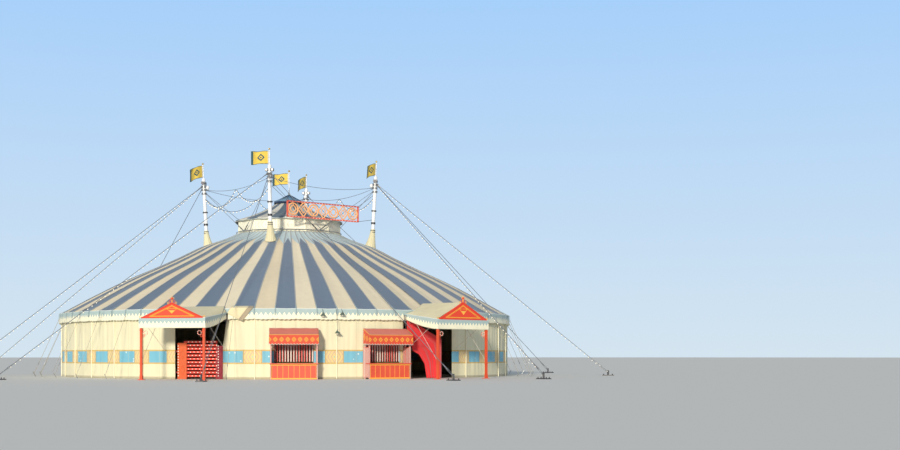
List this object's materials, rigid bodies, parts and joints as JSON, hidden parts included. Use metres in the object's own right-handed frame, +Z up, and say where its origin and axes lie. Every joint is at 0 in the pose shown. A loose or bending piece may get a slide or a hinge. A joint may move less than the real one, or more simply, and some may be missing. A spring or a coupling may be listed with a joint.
{
  "type": "circus big top tent, 1:2 scale model",
  "caption": "Round striped circus tent on leaning masts, with a cupola, hung roof sign, stays, two porches, a slatted barrier and stalls; 1:2 scale model.",
  "frame": {"origin": "on the level ground at the tent's axis, the centre of its footprint", "axes": "+Z up; the main entrance faces -Y; +X to the right seen from the entrance"},
  "size_m": [24.7442, 24.7442, 8.435],
  "materials": {
    "white_steel": "white gloss paint, slightly weathered",
    "grey_steel": "galvanised",
    "wire_rope": "dull galvanised strand",
    "lamp_string": "black cable",
    "roof_canvas": "coated canvas in blue-grey and cream stripes, satin",
    "cupola_canvas": "coated canvas in blue-grey and cream wedges",
    "cap_canvas": "blue coated canvas",
    "sleeve_canvas": "cream canvas, gathered",
    "valance_canvas": "light blue and cream toothed strip",
    "wall_canvas": "cream canvas with a painted dado",
    "band_board": "cream painted panels",
    "flag_cloth": "yellow flag cloth with a dark edge",
    "sign_paint": "red and orange enamel",
    "gable_paint": "red enamel with yellow lines",
    "post_paint": "red enamel",
    "porch_canvas": "grey-cream canvas",
    "awning_canvas": "red awning canvas",
    "stall_paint": "red and white painted boards",
    "curtain_cloth": "red curtain, gathered",
    "barrier_paint": "red painted boards"
  },
  "bodies": {
    "root": {"booth_awning_left": "awning_canvas", "booth_awning_right": "awning_canvas", "booth_stall_left": "stall_paint", "booth_stall_right": "stall_paint", "crown_ropes": "wire_rope", "cupola_band": "band_board", "cupola_cap": "cap_canvas", "cupola_ring": "grey_steel", "cupola_roof": "cupola_canvas", "cupola_staff": "white_steel", "eave_frame_back": "white_steel", "eave_frame_front": "white_steel", "eave_frame_left": "white_steel", "eave_frame_right": "white_steel", "entrance_barrier": "barrier_paint", "entrance_canopy": "porch_canvas", "entrance_frame": "post_paint", "entrance_gable": "gable_paint", "entrance_valance": "valance_canvas", "flag_back": "flag_cloth", "flag_cupola": "flag_cloth", "flag_front": "flag_cloth", "flag_left": "flag_cloth", "flag_right": "flag_cloth", "garland_back": "lamp_string", "garland_left": "lamp_string", "garland_right": "lamp_string", "ground_stays_back": "wire_rope", "ground_stays_front": "wire_rope", "ground_stays_left": "wire_rope", "ground_stays_right": "wire_rope", "head_rope": "wire_rope", "mast_back": "white_steel", "mast_front": "white_steel", "mast_left": "white_steel", "mast_right": "white_steel", "mast_sleeve_back": "sleeve_canvas", "mast_sleeve_front": "sleeve_canvas", "mast_sleeve_left": "sleeve_canvas", "mast_sleeve_right": "sleeve_canvas", "roof_back": "roof_canvas", "roof_front": "roof_canvas", "roof_left": "roof_canvas", "roof_right": "roof_canvas", "roof_sign": "sign_paint", "side_canopy": "porch_canvas", "side_curtain": "curtain_cloth", "side_frame": "post_paint", "side_gable": "gable_paint", "side_valance": "valance_canvas", "valance_back": "valance_canvas", "valance_front": "valance_canvas", "valance_left": "valance_canvas", "valance_right": "valance_canvas", "wall_back": "wall_canvas", "wall_back_left": "wall_canvas", "wall_back_right": "wall_canvas", "wall_booths": "wall_canvas", "wall_left": "wall_canvas", "wall_right": "wall_canvas"}
  },
  "joints": []
}
